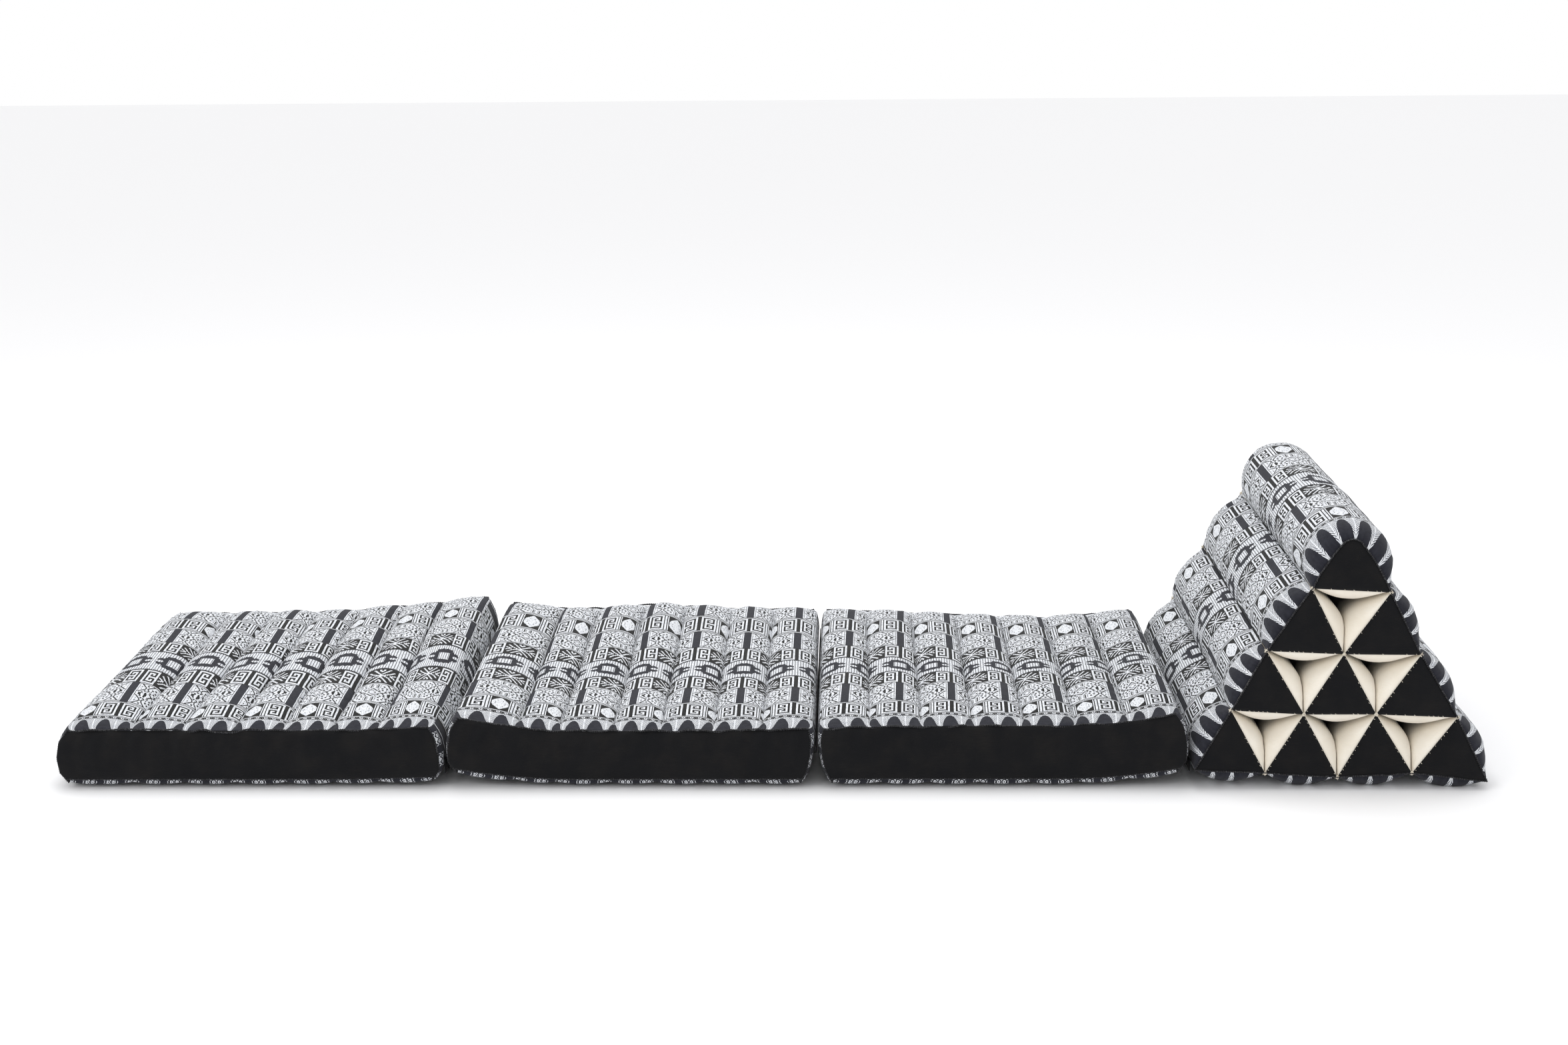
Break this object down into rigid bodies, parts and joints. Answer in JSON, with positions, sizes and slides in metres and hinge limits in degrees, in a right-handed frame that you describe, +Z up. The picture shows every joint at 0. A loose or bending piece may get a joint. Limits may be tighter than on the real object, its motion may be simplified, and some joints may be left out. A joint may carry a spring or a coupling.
{
  "type": "thai triangle cushion",
  "caption": "Kapok floor cushion: quilted fold-out mats in a row, hinged to a triangular stack of stuffed pipes, in patterned woven cotton with plain black ends.",
  "frame": {"origin": "centre of the footprint, on the surface that the mats and the lowest pipes rest on", "axes": "+X along the row of mats from their loose end towards the stack, +Y from the front to the back, +Z up"},
  "size_m": [1.7, 0.53, 0.313],
  "materials": {
    "woven_cotton": "black and white figured weave, matt",
    "black_cotton": "plain weave, soft and matt",
    "cream_cotton": "plain unbleached weave, matt"
  },
  "bodies": {
    "root": {"mat_1": "woven_cotton", "mat_2": "woven_cotton", "mat_3": "woven_cotton", "gusset_front_1": "black_cotton", "gusset_front_2": "black_cotton", "gusset_front_3": "black_cotton", "gusset_back_1": "black_cotton", "gusset_back_2": "black_cotton", "gusset_back_3": "black_cotton", "hinge_1_2": "woven_cotton", "hinge_2_3": "woven_cotton", "hinge_3_stack": "woven_cotton", "pipe_1_1": "woven_cotton", "pipe_1_2": "woven_cotton", "pipe_1_3": "woven_cotton", "pipe_1_4": "woven_cotton", "pipe_2_1": "woven_cotton", "pipe_2_2": "cream_cotton", "pipe_2_3": "woven_cotton", "pipe_3_1": "woven_cotton", "pipe_3_2": "woven_cotton", "pipe_4_1": "woven_cotton", "cap_front_1_1": "black_cotton", "cap_front_1_2": "black_cotton", "cap_front_1_3": "black_cotton", "cap_front_1_4": "black_cotton", "cap_front_2_1": "black_cotton", "cap_front_2_2": "black_cotton", "cap_front_2_3": "black_cotton", "cap_front_3_1": "black_cotton", "cap_front_3_2": "black_cotton", "cap_front_4_1": "black_cotton", "cap_back_1_1": "black_cotton", "cap_back_1_2": "black_cotton", "cap_back_1_3": "black_cotton", "cap_back_1_4": "black_cotton", "cap_back_2_1": "black_cotton", "cap_back_2_2": "black_cotton", "cap_back_2_3": "black_cotton", "cap_back_3_1": "black_cotton", "cap_back_3_2": "black_cotton", "cap_back_4_1": "black_cotton"}
  },
  "joints": []
}
